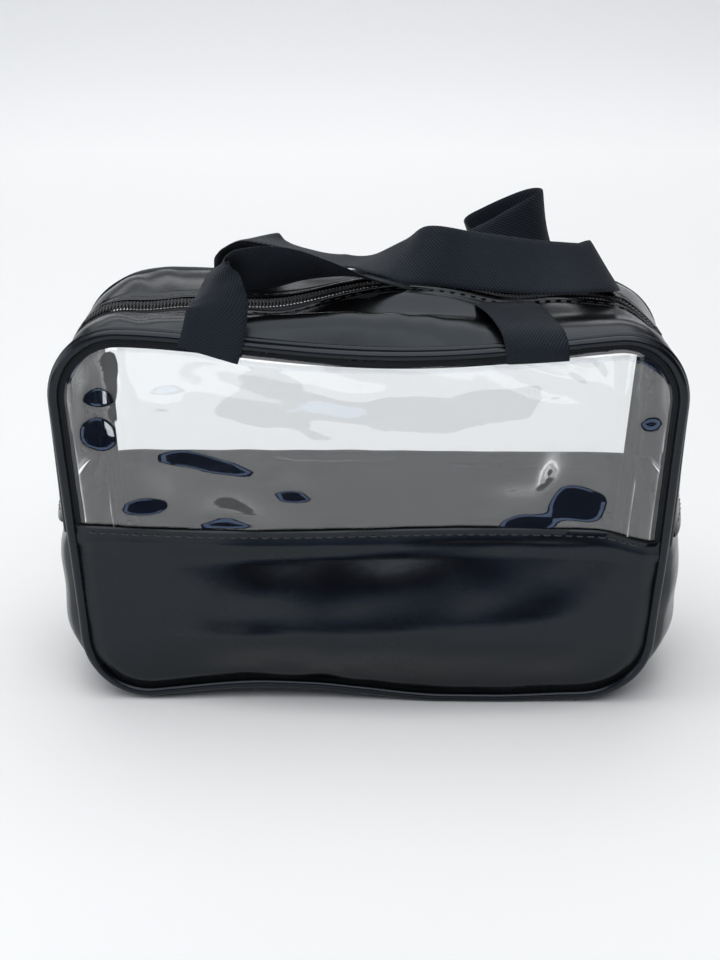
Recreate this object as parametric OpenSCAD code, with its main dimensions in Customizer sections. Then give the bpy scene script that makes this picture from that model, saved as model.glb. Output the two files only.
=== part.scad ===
// Soft box-shaped makeup bag: clear windows, dark lower panels, corded
// edges, a long top zip in a gusset, and two webbing carry handles.
// Origin: centre of the footprint, on the ground. +X right, +Y back, +Z up.

/* [Body] */
// Width over the corded edges at the top
bag_w = 266; // [240:1:300]
// Depth between the centre planes of the two corded edges
bag_d = 98; // [90:1:120]
// Height over the corded edges
bag_h = 168; // [160:1:180]
// How much each side draws in at the bottom
side_taper = 8; // [0:1:15]
// Corner radius at the top
corner_top = 30; // [24:1:40]
// Corner radius at the bottom
corner_bottom = 32; // [24:1:40]
// Height of the lower panels' folded hem
hem_h = 82; // [60:1:100]

/* [Sheets] */
// Thickness of the coated fabric
fabric_t = 1.2; // [1:0.1:1.6]
// Thickness of the clear window sheet
window_t = 0.6; // [0.4:0.1:0.8]
// Radius of the edge cord
cord_r = 2.1; // [1.6:0.1:2.4]
// Width of the binding tape on the inside of the seams
binding_w = 7; // [5:1:9]

/* [Zip] */
// Half length of the part of the mouth that folds open
flap_half = 82.5; // [60:0.5:84]
// Where the slider parks, from the middle
slider_x = 90; // [88:0.5:92]
// How far round the top corners the zip runs, in degrees
zip_corner = 50; // [30:1:60]
// Length of the pull tab from its pivot
tab_len = 20; // [14:1:20]

/* [Handles] */
// Width of the webbing
web_w = 25; // [20:1:26]
// Thickness of the webbing
web_t = 1.2; // [1:0.1:1.4]

/* [Hidden] */

gap = 0.3;                          // clearance between separate sheets
side_seam_z = hem_h;                // where the zip gusset meets the base
panel_y = bag_d / 2;                // centre plane of the front cord
gusset_y = panel_y - cord_r - gap;  // half width of the gusset
strip_top = bag_h;
strip_bottom = strip_top - fabric_t;
strip_y = 7;                        // half width of the slot in the gusset
flap_y = gusset_y - 2;              // outer edge of a folding strip
tape_t = 0.6;
tape_top = strip_bottom - 2 * gap;
tape_w = 11;                        // width of one zip tape
tape_in = 3;                        // inner edge of a tape
coil_in = 0.7;                      // inner face of a coil row
coil_w = 2.2;
coil_h = 2.2;
coil_bottom = tape_top - tape_t / 2 - coil_h / 2;
tooth_pitch = 2.4;
tooth_len = 1.3;
end_gap = 0.4;                      // between folding and fixed stretches
hem_w = 10;                         // depth of the folded hem
hem_t = 0.7 * fabric_t;             // what its second layer adds
window_lap = 8;                     // how far the window runs on behind the hem
binding_t = 0.8;
stitch_pitch = 4.6;
stitch_len = 3;
stitch_w = 0.6;
stitch_t = 0.4;
stitch_gap = 0.05;                  // between a stitch and the sheet under it
stitch_margin = 14;                 // from the ends of a row to the corded edge
hem_stitch_in = 5;                  // from the hem's edge
strip_stitch_in = 3;                // from the strip's edge
side_stitch_up = 4;                 // above the side seam
black = [0.05, 0.05, 0.06];
web_black = [0.09, 0.09, 0.1];
clear = [0.85, 0.9, 0.95, 0.3];
metal = [0.2, 0.2, 0.21];

// ---- outline of the panels, set in by d all round ----
module outline(d) {
    hull() {
        for (s = [-1, 1]) {
            translate([s * (bag_w / 2 - corner_top), bag_h - corner_top])
                circle(r = corner_top - d, $fn = 48);
            translate([s * (bag_w / 2 - side_taper - corner_bottom), corner_bottom])
                circle(r = corner_bottom - d, $fn = 48);
        }
    }
}

// A sheet in the XZ plane from y0 to y1, on the front; the children are 2-D
module upright(y0, y1) {
    translate([0, y1, 0]) rotate([90, 0, 0]) linear_extrude(y1 - y0) children();
}

module band(z0, z1) {
    translate([-bag_w, z0]) square([2 * bag_w, z1 - z0]);
}

// ---- front panel; the back one is its mirror image ----
sheet_in = 2 * cord_r + gap;

module window_sheet() {
    upright(-panel_y - window_t / 2, -panel_y + window_t / 2)
        intersection() {
            outline(sheet_in);
            band(hem_h - window_lap, bag_h);
        }
}

sheet_face = -panel_y - window_t / 2 - gap - fabric_t;

module lower_sheet() {
    upright(sheet_face, sheet_face + fabric_t)
        intersection() {
            outline(sheet_in);
            band(0, hem_h);
        }
    // the folded edge is a second layer
    upright(sheet_face - hem_t, sheet_face)
        intersection() {
            outline(sheet_in);
            band(hem_h - hem_w, hem_h);
        }
}

module hem_stitches() {
    y = sheet_face - hem_t - stitch_gap - stitch_t;
    count = floor((bag_w / 2 - stitch_margin) / stitch_pitch);
    for (i = [-count:count])
        translate([i * stitch_pitch - stitch_len / 2, y, hem_h - hem_stitch_in])
            cube([stitch_len, stitch_t, stitch_w]);
}

module binding_sheet() {
    y0 = -panel_y + window_t / 2 + gap;
    upright(y0, y0 + binding_t)
        difference() {
            outline(sheet_in);
            outline(sheet_in + binding_w);
        }
}

// ---- edge cord: a round section swept along the outline ----
top_c = [bag_w / 2 - corner_top, bag_h - corner_top];
bot_c = [bag_w / 2 - side_taper - corner_bottom, corner_bottom];
side_span = top_c - bot_c;
side_angle = atan2(side_span[1], side_span[0])
    - acos((corner_bottom - corner_top) / norm(side_span));
corner_steps = 8;

// the side wall's outer face at height z
function side_x(z) =
    top_c[0] + corner_top / cos(side_angle) - (z - top_c[1]) * tan(side_angle);

// centre line of the cord, anticlockwise from the right side
function arc_points(c, r, a0, a1) =
    [for (i = [0:corner_steps]) let (a = a0 + (a1 - a0) * i / corner_steps)
        [c[0] + (r - cord_r) * cos(a), c[1] + (r - cord_r) * sin(a), a]];
function flip_x(p) = [-p[0], p[1], 180 - p[2]];
right_arcs_top = arc_points(top_c, corner_top, side_angle, 90);
right_arcs_bottom = arc_points(bot_c, corner_bottom, -90, side_angle);
cord_path = concat(
    right_arcs_top,
    [for (i = [corner_steps:-1:0]) flip_x(right_arcs_top[i])],
    [for (i = [corner_steps:-1:0]) flip_x(right_arcs_bottom[i])],
    right_arcs_bottom
);
cord_sides = 8;

module edge_cord() {
    rings = len(cord_path);
    points = [
        for (p = cord_path) for (k = [0:cord_sides - 1])
            let (a = 360 * k / cord_sides, out = cord_r * cos(a))
                [p[0] + out * cos(p[2]), -panel_y + cord_r * sin(a), p[1] + out * sin(p[2])]
    ];
    faces = [
        for (i = [0:rings - 1]) for (k = [0:cord_sides - 1])
            let (j = (i + 1) % rings, m = (k + 1) % cord_sides)
                [i * cord_sides + k, j * cord_sides + k, j * cord_sides + m, i * cord_sides + m]
    ];
    polyhedron(points, faces, convexity = 4);
}

// ---- gusset: one thin band round the outline, cut into lengths ----
module gusset_band() {
    upright(-gusset_y, gusset_y)
        difference() {
            outline(0);
            outline(fabric_t);
        }
}

module base_gusset() {
    color(black)
        difference() {
            gusset_band();
            translate([-bag_w, -bag_d, side_seam_z - gap / 2])
                cube([2 * bag_w, 2 * bag_d, bag_h]);
        }
}

// Wedge that covers the stretch of the zip and its stop round a top corner
module corner_slot() {
    reach = 2 * corner_top;
    end = zip_corner + 8;
    translate([top_c[0], 0, top_c[1]])
        rotate([90, 0, 0])
            linear_extrude(2 * strip_y, center = true)
                polygon([
                    [-reach, 0], [0, 0],
                    [reach * sin(end), reach * cos(end)],
                    [0, reach], [-reach, reach]
                ]);
}

module end_gusset() {
    difference() {
        gusset_band();
        translate([-bag_w, -bag_d, -bag_h])
            cube([2 * bag_w, 2 * bag_d, bag_h + side_seam_z + gap / 2]);
        translate([-bag_w, -bag_d, 0])
            cube([bag_w + flap_half + end_gap, 2 * bag_d, 2 * bag_h]);
        corner_slot();
    }
}

// ---- zip round a corner: sections swept about the corner's centre ----
module corner_sweep(y0, y1, z0, z1, a) {
    r0 = z0 - top_c[1];
    translate([top_c[0], 0, top_c[1]])
        rotate([90, 0, 0]) rotate([0, 0, 90 - a])
            rotate_extrude(angle = a, $fn = 96)
                translate([r0, -y1])
                    square([z1 - z0, y1 - y0]);
}

module end_run(y0, y1, z0, z1, a) {
    x0 = flap_half + end_gap;
    translate([x0, y0, z0]) cube([top_c[0] - x0, y1 - y0, z1 - z0]);
    corner_sweep(y0, y1, z0, z1, a);
}

module end_tape() {
    for (s = [0, 1]) mirror([0, s, 0])
        end_run(tape_in, tape_in + tape_w, tape_top - tape_t, tape_top, zip_corner + 6);
}

module end_coil() {
    x0 = flap_half + end_gap;
    straight = floor((top_c[0] - x0) / tooth_pitch);
    r = strip_bottom - top_c[1];
    turned = floor(zip_corner * PI / 180 * r / tooth_pitch);
    for (s = [0, 1]) mirror([0, s, 0]) {
        end_run(coil_in + 1.2, coil_in + coil_w, coil_bottom + 0.5, coil_bottom + coil_h - 0.5,
            zip_corner);
        for (i = [0:straight - 1])
            translate([x0 + 0.3 + i * tooth_pitch, 0, 0]) tooth();
        for (i = [1:turned])
            translate([top_c[0], 0, top_c[1]])
                rotate([0, (i - 0.5) * tooth_pitch / r * 180 / PI, 0])
                    translate([-tooth_len / 2, 0, -top_c[1]]) tooth();
    }
}

module tooth() {
    translate([0, coil_in, coil_bottom]) cube([tooth_len, coil_w, coil_h]);
}

// A clip across both coils just past their last teeth, grooved for the tapes' edges
stop_half = 4;
stop_len = 2.4;
stop_h = coil_h + 1.2;

module zip_stop() {
    groove_y = tape_in - 0.1;
    groove_h = tape_t + 2 * 0.2;
    translate([top_c[0], 0, top_c[1]])
        rotate([0, zip_corner + 3, 0])
            translate([0, 0, -top_c[1]])
                difference() {
                    translate([-stop_len / 2, -stop_half, coil_bottom - gap])
                        cube([stop_len, 2 * stop_half, stop_h]);
                    for (s = [0, 1]) mirror([0, s, 0])
                        translate([-stop_len, groove_y, tape_top - tape_t - 0.2])
                            cube([2 * stop_len, stop_half, groove_h]);
                }
}

// Stitches along the side, just above the seam where the gussets meet
module side_stitches() {
    z = side_seam_z + side_stitch_up;
    count = floor((gusset_y - stitch_margin / 2) / stitch_pitch);
    for (i = [-count:count])
        translate([side_x(z + stitch_w) + stitch_gap, i * stitch_pitch - stitch_len / 2, z])
            cube([stitch_t, stitch_len, stitch_w]);
}

// ---- the top stretch of the gusset, which folds into the bag ----
module zip_strip() {
    translate([-flap_half, -flap_y, strip_bottom])
        cube([2 * flap_half, flap_y - strip_y, fabric_t]);
}

module strip_tape() {
    translate([-flap_half, -tape_in - tape_w, tape_top - tape_t])
        cube([2 * flap_half, tape_w, tape_t]);
}

module strip_coil() {
    count = floor((2 * flap_half - tooth_len) / tooth_pitch);
    start = -count * tooth_pitch / 2 - tooth_len / 2;
    mirror([0, 1, 0]) {
        translate([-flap_half, coil_in + 1.2, coil_bottom + 0.5])
            cube([2 * flap_half, coil_w - 1.2, coil_h - 1]);
        for (i = [0:count])
            translate([start + i * tooth_pitch, 0, 0]) tooth();
    }
}

module strip_stitches() {
    count = floor((flap_half - 3) / stitch_pitch);
    for (i = [-count:count])
        translate([i * stitch_pitch - stitch_len / 2, -strip_y - strip_stitch_in,
                strip_top + stitch_gap])
            cube([stitch_len, stitch_w, stitch_t]);
}

// ---- slider and pull tab ----
slider_len = 11;
slider_half = 4.2;
plate_t = 1.2;
plate_gap = 0.6;                             // between a plate and the coils
plate_top = coil_bottom + coil_h + plate_gap;        // underside of the top plate
plate_low = coil_bottom - plate_gap - plate_t;       // underside of the bottom plate
pivot_z = plate_top + plate_t + 1.1;
post_t = 0.7;
post_len = 4;
bridge_half = 4;
bridge_w = 2;
bridge_h = 3;
bridge_t = 1;

module zip_slider() {
    color(metal) translate([slider_x, 0, 0]) {
        // plates joined by the post that parts the two rows
        translate([-slider_len / 2, -slider_half, plate_top])
            cube([slider_len, 2 * slider_half, plate_t]);
        translate([-slider_len / 2, -slider_half, plate_low])
            cube([slider_len, 2 * slider_half, plate_t]);
        translate([1 - slider_len / 2, -post_t / 2, plate_low])
            cube([post_len, post_t, plate_top + plate_t - plate_low]);
        // bridge over the tab's cross bar
        translate([-bridge_half, 0, plate_top + plate_t])
            difference() {
                translate([0, -bridge_w / 2, -0.1])
                    cube([2 * bridge_half, bridge_w, bridge_h]);
                translate([bridge_t, -bridge_w, 0])
                    cube([2 * (bridge_half - bridge_t), 2 * bridge_w, bridge_h - bridge_t + 0.1]);
            }
    }
}

module pull_tab() {
    bar_r = 0.6;
    arm_y = bridge_w / 2 + 0.6;
    arm_w = 1.1;
    arm_len = 7;
    tab_t = 1;
    half = arm_y + arm_w;
    color(metal) translate([slider_x, 0, pivot_z]) {
        rotate([90, 0, 0]) cylinder(r = bar_r, h = 2 * half, center = true, $fn = 24);
        for (s = [0, 1]) mirror([0, s, 0])
            translate([-arm_len, arm_y, -tab_t / 2])
                cube([arm_len + bar_r, arm_w, tab_t]);
        difference() {
            translate([-tab_len, -half, -tab_t / 2])
                cube([tab_len - arm_len + 1, 2 * half, tab_t]);
            translate([4 - tab_len, 0, 0])
                cylinder(r = 1.4, h = 2 * tab_t, center = true, $fn = 32);
        }
    }
}

// ---- handles: webbing swept through stations ----
// each station is [centre, direction across the webbing]
front_route = [
    [[-65.5, -52.2, 161], [-0.97, 0, 0.22]],
    [[-63.5, -52.2, 168], [-0.97, 0, 0.24]],
    [[-61.3, -50.4, 177], [-0.95, 0.18, 0.2]],
    [[-61.8, -47, 182.3], [-0.84, 0.54, 0.06]],
    [[-62.6, -43, 186], [-0.6, 0.8, -0.03]],
    [[-62.6, -40, 189.3], [-0.38, 0.92, -0.12]],
    [[-61.3, -37.8, 191.5], [-0.25, 0.92, -0.3]],
    [[-57.5, -36.8, 192], [-0.15, 0.78, -0.6]],
    [[-52, -36, 191], [-0.15, 0.58, -0.8]],
    [[-45, -32, 189.8], [-0.1, 0.57, -0.8]],
    [[-36, -25.5, 188.2], [0, 0.68, -0.72]],
    [[-25, -18, 185.8], [0.1, 0.82, -0.5]],
    [[-12, -9, 182.4], [0.1, 0.93, -0.3]],
    [[3, -2, 180], [0, 0.99, 0]],
    [[14, 1.5, 180.3], [-0.08, 0.93, 0.32]],
    [[29, 4, 183], [-0.1, 0.8, 0.6]],
    [[43, 9, 185], [-0.1, 0.66, 0.74]],
    [[56, 16, 188.3], [-0.2, 0.45, 0.88]],
    [[67, 23, 193], [-0.22, 0.25, 0.94]],
    [[75, 28, 197], [-0.2, 0.12, 0.97]],
    [[78, 34, 198.8], [-0.15, 0.08, 0.98]],
    [[74, 40, 198], [-0.15, 0.06, 0.98]],
    [[65, 43, 194], [-0.35, 0.05, 0.93]],
    [[56, 44, 189.5], [-0.45, 0.05, 0.88]],
    [[49, 42.5, 186], [-0.3, 0, 0.95]],
    [[45.5, 36.5, 182], [0.25, 0, 0.97]],
    [[46, 28, 177.5], [0.72, 0.2, 0.66]],
    [[49, 18, 174.2], [0.93, 0.3, 0.2]],
    [[52, 7, 173.6], [0.96, 0.28, 0]],
    [[55, -4, 173.8], [0.97, 0.25, 0]],
    [[58, -14.5, 174.2], [0.97, 0.25, 0]],
    [[61.5, -26, 174.2], [0.97, 0.24, 0]],
    [[65, -38, 173.2], [0.98, 0.18, 0]],
    [[68, -47.8, 171.2], [1, 0.04, 0]],
    [[69.5, -52, 167], [1, 0, 0]],
    [[70, -52.2, 161], [1, 0, 0]]
];
back_route = [
    [[-60, 52.2, 161], [1, 0, 0]],
    [[-60, 52.2, 169], [1, 0, 0]],
    [[-59, 48.5, 177], [0.97, 0.2, 0]],
    [[-56, 41, 184.5], [0.83, 0.56, 0]],
    [[-51, 31, 189.3], [0.48, 0.87, -0.05]],
    [[-43, 24, 189], [0.15, 0.98, -0.12]],
    [[-31, 19, 186.8], [-0.02, 0.99, -0.12]],
    [[-16, 10, 184.7], [-0.03, 1, 0]],
    [[-2, 7, 184.2], [-0.02, 1, 0]],
    [[12.5, 2, 187], [0, 0.92, 0.4]],
    [[26, -6, 190.2], [0, 0.4, 0.92]],
    [[42, -7, 188.4], [0, 0.46, 0.88]],
    [[56, -7.5, 187], [0, 0.52, 0.85]],
    [[73, -7, 185.4], [0, 0.62, 0.78]],
    [[88, -6, 185], [-0.1, 0.7, 0.7]],
    [[97.5, -2, 184.4], [-0.22, 0.71, 0.67]],
    [[102, 5, 183.5], [-0.4, 0.62, 0.67]],
    [[101.5, 14, 181.7], [-0.6, 0.4, 0.68]],
    [[97.5, 22.5, 179.2], [-0.75, 0.05, 0.65]],
    [[91, 29, 177], [-0.85, -0.25, 0.45]],
    [[83, 35.5, 174.8], [-0.93, -0.3, 0.14]],
    [[75, 41.5, 173.4], [-0.98, -0.12, 0]],
    [[70.5, 48.5, 171.4], [-1, -0.02, 0]],
    [[69.3, 52, 167], [-1, 0, 0]],
    [[69, 52.2, 161], [-1, 0, 0]]
];
ring_steps = 3;                     // rings between one station and the next

function unit(v) = v / norm(v);
function clamped(list, i) = list[max(0, min(len(list) - 1, i))];
function spline(p0, p1, p2, p3, t) =
    0.5 * (2 * p1 + (p2 - p0) * t + (2 * p0 - 5 * p1 + 4 * p2 - p3) * t * t
        + (3 * p1 - p0 - 3 * p2 + p3) * t * t * t);
function along(route, i, t, k) =
    spline(clamped(route, i - 1)[k], clamped(route, i)[k],
        clamped(route, i + 1)[k], clamped(route, i + 2)[k], t);
// every ring as [centre, across]
function rings_of(route) = concat(
    [for (i = [0:len(route) - 2]) for (j = [0:ring_steps - 1])
        let (t = j / ring_steps) [along(route, i, t, 0), along(route, i, t, 1)]],
    [route[len(route) - 1]]
);

module webbing(route) {
    rings = rings_of(route);
    last = len(rings) - 1;
    points = [
        for (i = [0:last])
            let (
                c = rings[i][0],
                run = unit(rings[min(last, i + 1)][0] - rings[max(0, i - 1)][0]),
                raw = rings[i][1],
                across = unit(raw - (raw * run) * run),
                face = cross(run, across)
            )
            for (q = [[-1, -1], [1, -1], [1, 1], [-1, 1]])
                c + q[0] * web_w / 2 * across + q[1] * web_t / 2 * face
    ];
    sides = [
        for (i = [0:last - 1]) for (k = [0:3])
            let (a = i * 4 + k, b = i * 4 + (k + 1) % 4)
                each [[a, b, b + 4], [a, b + 4, a + 4]]
    ];
    ends = [[3, 2, 1, 0], [for (k = [0:3]) last * 4 + k]];
    polyhedron(points, concat(sides, ends), convexity = 8);
}

// ---- sub-parts ----
module front_window() color(clear) window_sheet();
module back_window() color(clear) mirror([0, 1, 0]) window_sheet();
module front_lower_panel() color(black) lower_sheet();
module back_lower_panel() color(black) mirror([0, 1, 0]) lower_sheet();
module front_hem_stitching() color(web_black) hem_stitches();
module back_hem_stitching() color(web_black) mirror([0, 1, 0]) hem_stitches();
module front_piping() color(black) edge_cord();
module back_piping() color(black) mirror([0, 1, 0]) edge_cord();
module front_seam_binding() color(web_black) binding_sheet();
module back_seam_binding() color(web_black) mirror([0, 1, 0]) binding_sheet();
module right_zip_gusset() color(black) end_gusset();
module left_zip_gusset() color(black) mirror([1, 0, 0]) end_gusset();
module right_zip_tape() color(web_black) end_tape();
module left_zip_tape() color(web_black) mirror([1, 0, 0]) end_tape();
module right_zip_coil() color(web_black) end_coil();
module left_zip_coil() color(web_black) mirror([1, 0, 0]) end_coil();
module right_zip_stop() color(metal) zip_stop();
module left_zip_stop() color(metal) mirror([1, 0, 0]) zip_stop();
module right_side_stitching() color(web_black) side_stitches();
module left_side_stitching() color(web_black) mirror([1, 0, 0]) side_stitches();
module front_zip_strip() color(black) zip_strip();
module back_zip_strip() color(black) mirror([0, 1, 0]) zip_strip();
module front_zip_tape() color(web_black) strip_tape();
module back_zip_tape() color(web_black) mirror([0, 1, 0]) strip_tape();
module front_zip_coil() color(web_black) strip_coil();
module back_zip_coil() color(web_black) mirror([0, 1, 0]) strip_coil();
module front_strip_stitching() color(web_black) strip_stitches();
module back_strip_stitching() color(web_black) mirror([0, 1, 0]) strip_stitches();
module front_handle() color(web_black) webbing(front_route);
module back_handle() color(web_black) webbing(back_route);

front_window();
back_window();
front_lower_panel();
back_lower_panel();
front_hem_stitching();
back_hem_stitching();
front_piping();
back_piping();
front_seam_binding();
back_seam_binding();
base_gusset();
left_zip_gusset();
right_zip_gusset();
left_zip_tape();
right_zip_tape();
left_zip_coil();
right_zip_coil();
left_zip_stop();
right_zip_stop();
left_side_stitching();
right_side_stitching();
front_zip_strip();
back_zip_strip();
front_zip_tape();
back_zip_tape();
front_zip_coil();
back_zip_coil();
front_strip_stitching();
back_strip_stitching();
zip_slider();
pull_tab();
front_handle();
back_handle();
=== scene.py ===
import math

import bmesh
import bpy
import numpy as np
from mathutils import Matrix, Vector


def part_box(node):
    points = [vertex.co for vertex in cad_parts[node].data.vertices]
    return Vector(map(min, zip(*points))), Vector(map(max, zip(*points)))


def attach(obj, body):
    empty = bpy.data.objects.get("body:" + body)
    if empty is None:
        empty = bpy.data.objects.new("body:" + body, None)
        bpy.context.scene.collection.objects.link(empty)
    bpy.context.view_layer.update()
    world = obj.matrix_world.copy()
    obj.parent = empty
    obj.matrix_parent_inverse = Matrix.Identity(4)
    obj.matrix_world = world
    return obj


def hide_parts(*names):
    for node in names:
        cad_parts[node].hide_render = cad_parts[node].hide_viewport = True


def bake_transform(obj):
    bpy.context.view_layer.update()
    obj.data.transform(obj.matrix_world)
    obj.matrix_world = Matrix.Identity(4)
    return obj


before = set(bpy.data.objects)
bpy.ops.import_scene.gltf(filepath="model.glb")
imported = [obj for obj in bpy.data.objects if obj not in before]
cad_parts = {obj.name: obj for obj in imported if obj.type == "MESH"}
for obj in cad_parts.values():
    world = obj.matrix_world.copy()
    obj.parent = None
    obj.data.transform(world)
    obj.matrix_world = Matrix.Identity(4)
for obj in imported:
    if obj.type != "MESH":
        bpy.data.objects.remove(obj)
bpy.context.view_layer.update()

MM = 0.001

# ---------------------------------------------------------------- sizes, in millimetres, from the frame


def box_mm(node):
    low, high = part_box(node)
    return np.array(low) / MM, np.array(high) / MM


cord_low, cord_high = box_mm("front_piping")
BAG_W = cord_high[0] - cord_low[0]
BAG_H = cord_high[2]
CORD_R = (cord_high[1] - cord_low[1]) / 2
PANEL_Y = -(cord_high[1] + cord_low[1]) / 2
HEM_Z = box_mm("front_lower_panel")[1][2]
GUSSET_Y = box_mm("base_gusset")[1][1]
SEAM_Z = box_mm("base_gusset")[1][2]
SLOT_Y = -box_mm("front_zip_strip")[1][1]
FOLD_Y = -box_mm("front_zip_strip")[0][1]
TAPE_TOP = box_mm("front_zip_tape")[1][2]
COIL_LOW, COIL_HIGH = (box[2] for box in box_mm("front_zip_coil"))

CORNER_TOP = 30                    # corner radii of the outline
CORNER_BOTTOM = 32
SIDE_TAPER = 8                     # how much each side draws in at the bottom
ZIP_CORNER = math.radians(50)      # how far the zip runs on round each top corner
FABRIC_T = 1.2                     # coated fabric
WINDOW_T = 0.6                     # clear vinyl
TAPE_T = 0.6                       # zip tape
BINDING_T = 0.8
WEB_W = 25                         # handle webbing
WEB_T = 1.2
STITCH_PITCH = 4.6

# ---------------------------------------------------------------- camera, light and stage
CAMERA_AT = (9.9, -723.4, 346.1)
CAMERA_PITCH = math.radians(19.8)
CAMERA_YAW = math.radians(1.1)
CAMERA_LENS = 63.75


def add_camera():
    data = bpy.data.cameras.new("camera")
    data.lens = CAMERA_LENS
    data.sensor_width = 36
    camera = bpy.data.objects.new("camera", data)
    bpy.context.scene.collection.objects.link(camera)
    camera.location = Vector(CAMERA_AT) * MM
    camera.rotation_euler = (math.pi / 2 - CAMERA_PITCH, 0, CAMERA_YAW)
    bpy.context.scene.camera = camera


def add_area(name, at, look, size, power, color=(1, 1, 1)):
    data = bpy.data.lights.new(name, "AREA")
    data.shape = "RECTANGLE"
    data.size, data.size_y = size
    data.energy = power
    data.color = color
    light = bpy.data.objects.new(name, data)
    bpy.context.scene.collection.objects.link(light)
    light.location = at
    direction = Vector(look) - Vector(at)
    light.rotation_euler = direction.to_track_quat("-Z", "Y").to_euler()


def add_stage():
    """A floor that curves up into a wall behind the bag, in metres."""
    depth_front, depth_back, radius, wall, half = -1.4, 1.5, 0.4, 0.6, 3.5
    profile = [(depth_front, 0.0), (0.0, 0.0)]
    for i in range(17):
        a = math.pi / 2 * i / 16
        profile.append((depth_back + radius * math.sin(a), radius * (1 - math.cos(a))))
    profile.append((depth_back + radius, wall))
    verts, faces = [], []
    for y, z in profile:
        verts += [(-half, y, z), (half, y, z)]
    for i in range(len(profile) - 1):
        faces.append((2 * i, 2 * i + 1, 2 * i + 3, 2 * i + 2))
    mesh = bpy.data.meshes.new("floor")
    mesh.from_pydata(verts, [], faces)
    mesh.polygons.foreach_set("use_smooth", [True] * len(faces))
    floor = bpy.data.objects.new("floor", mesh)
    bpy.context.scene.collection.objects.link(floor)
    material = bpy.data.materials.new("paper")
    material.use_nodes = True
    shader = material.node_tree.nodes["Principled BSDF"]
    shader.inputs["Base Color"].default_value = (0.88, 0.88, 0.875, 1)
    shader.inputs["Roughness"].default_value = 0.85
    shader.inputs["Specular IOR Level"].default_value = 0.2
    mesh.materials.append(material)


def add_world():
    """A room with a bright ceiling and dim walls: that is what the glossy sheets mirror."""
    world = bpy.data.worlds.new("studio")
    world.use_nodes = True
    tree = world.node_tree

    def node(kind, **settings):
        new = tree.nodes.new(kind)
        for key, value in settings.items():
            setattr(new, key, value)
        return new

    def smooth(value, low, high):
        step = node("ShaderNodeMapRange", interpolation_type="SMOOTHSTEP")
        tree.links.new(value, step.inputs["Value"])
        step.inputs["From Min"].default_value = low
        step.inputs["From Max"].default_value = high
        return step.outputs["Result"]

    direction = node("ShaderNodeSeparateXYZ")
    tree.links.new(node("ShaderNodeTexCoord").outputs["Generated"], direction.inputs[0])

    def blend(share, low, high):
        mix = node("ShaderNodeMix", data_type="RGBA")
        tree.links.new(share, mix.inputs["Factor"])
        for socket, color in ((mix.inputs["A"], low), (mix.inputs["B"], high)):
            if isinstance(color, tuple):
                socket.default_value = (*color, 1)
            else:
                tree.links.new(color, socket)
        return mix.outputs["Result"]

    walls = blend(smooth(direction.outputs["Y"], -0.6, 0.1), (0.012, 0.024, 0.066), (0.1, 0.11, 0.13))
    low_back = blend(smooth(direction.outputs["Z"], 0.16, 0.3), (0.9, 0.9, 0.9), walls)
    room = blend(smooth(direction.outputs["Y"], -0.1, 0.2), walls, low_back)
    color = blend(smooth(direction.outputs["Z"], 0.6, 0.85), room, (0.9, 0.92, 0.94))
    back = tree.nodes["Background"]
    tree.links.new(color, back.inputs["Color"])
    back.inputs["Strength"].default_value = 1.0
    bpy.context.scene.world = world


add_camera()
add_stage()
add_world()
add_area("overhead", (-0.2, 0.1, 1.7), (0, 0.1, 0.1), (2.2, 1.8), 13.5)
add_area("front_fill", (0.2, -1.5, 1.5), (0, -0.2, 0), (2.0, 1.0), 12)
add_area("wall_wash", (0, 1.9, 1.4), (0, 1.4, 0), (2.6, 0.6), 8.5)
add_area("sky_window", (0.2, -2.2, 0.15), (0, 0, 0.1), (2.2, 0.2), 1.2, (0.45, 0.62, 1))
add_area("left_card", (-1.5, -1.7, 0.45), (0, 0, 0.1), (0.7, 0.5), 4, (0.9, 0.95, 1))
add_area("side_window", (-1.8, -0.3, 0.7), (0, 0, 0.1), (0.8, 0.7), 6, (0.93, 0.96, 1))
bpy.context.scene.view_settings.view_transform = "Standard"

# ---------------------------------------------------------------- materials


class Nodes:
    """A short way to write a material's node tree."""

    def __init__(self, name):
        self.material = bpy.data.materials.new(name)
        self.material.use_nodes = True
        self.tree = self.material.node_tree
        self.shader = self.tree.nodes["Principled BSDF"]
        self.out = self.tree.nodes["Material Output"]

    def add(self, kind, values=None, **settings):
        node = self.tree.nodes.new(kind)
        for key, value in settings.items():
            setattr(node, key, value)
        for key, value in (values or {}).items():
            self.put(node.inputs[key], value)
        return node

    def put(self, socket, value):
        if isinstance(value, bpy.types.NodeSocket):
            self.tree.links.new(value, socket)
        else:
            socket.default_value = value

    def math(self, operation, a, b=0.0, c=0.0):
        return self.add("ShaderNodeMath", {0: a, 1: b, 2: c}, operation=operation).outputs[0]

    def position(self):
        return self.add("ShaderNodeTexCoord").outputs["Object"]

    def noise(self, vector, scale, detail=2.0, rough=0.5):
        values = {"Vector": vector, "Scale": scale, "Detail": detail, "Roughness": rough}
        return self.add("ShaderNodeTexNoise", values).outputs["Fac"]

    def remap(self, value, low, high, to_low, to_high):
        values = {"Value": value, "From Min": low, "From Max": high, "To Min": to_low, "To Max": to_high}
        return self.add("ShaderNodeMapRange", values).outputs["Result"]

    def mix(self, fac, a, b):
        node = self.add("ShaderNodeMix", data_type="RGBA")
        self.put(node.inputs["Factor"], fac)
        self.put(node.inputs["A"], a)
        self.put(node.inputs["B"], b)
        return node.outputs["Result"]

    def bump(self, height, distance, strength=1.0, normal=None):
        node = self.add("ShaderNodeBump", {"Height": height, "Distance": distance, "Strength": strength})
        if normal is not None:
            self.put(node.inputs["Normal"], normal)
        return node.outputs["Normal"]

    def set(self, **values):
        for key, value in values.items():
            self.put(self.shader.inputs[key.replace("_", " ")], value)


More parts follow.
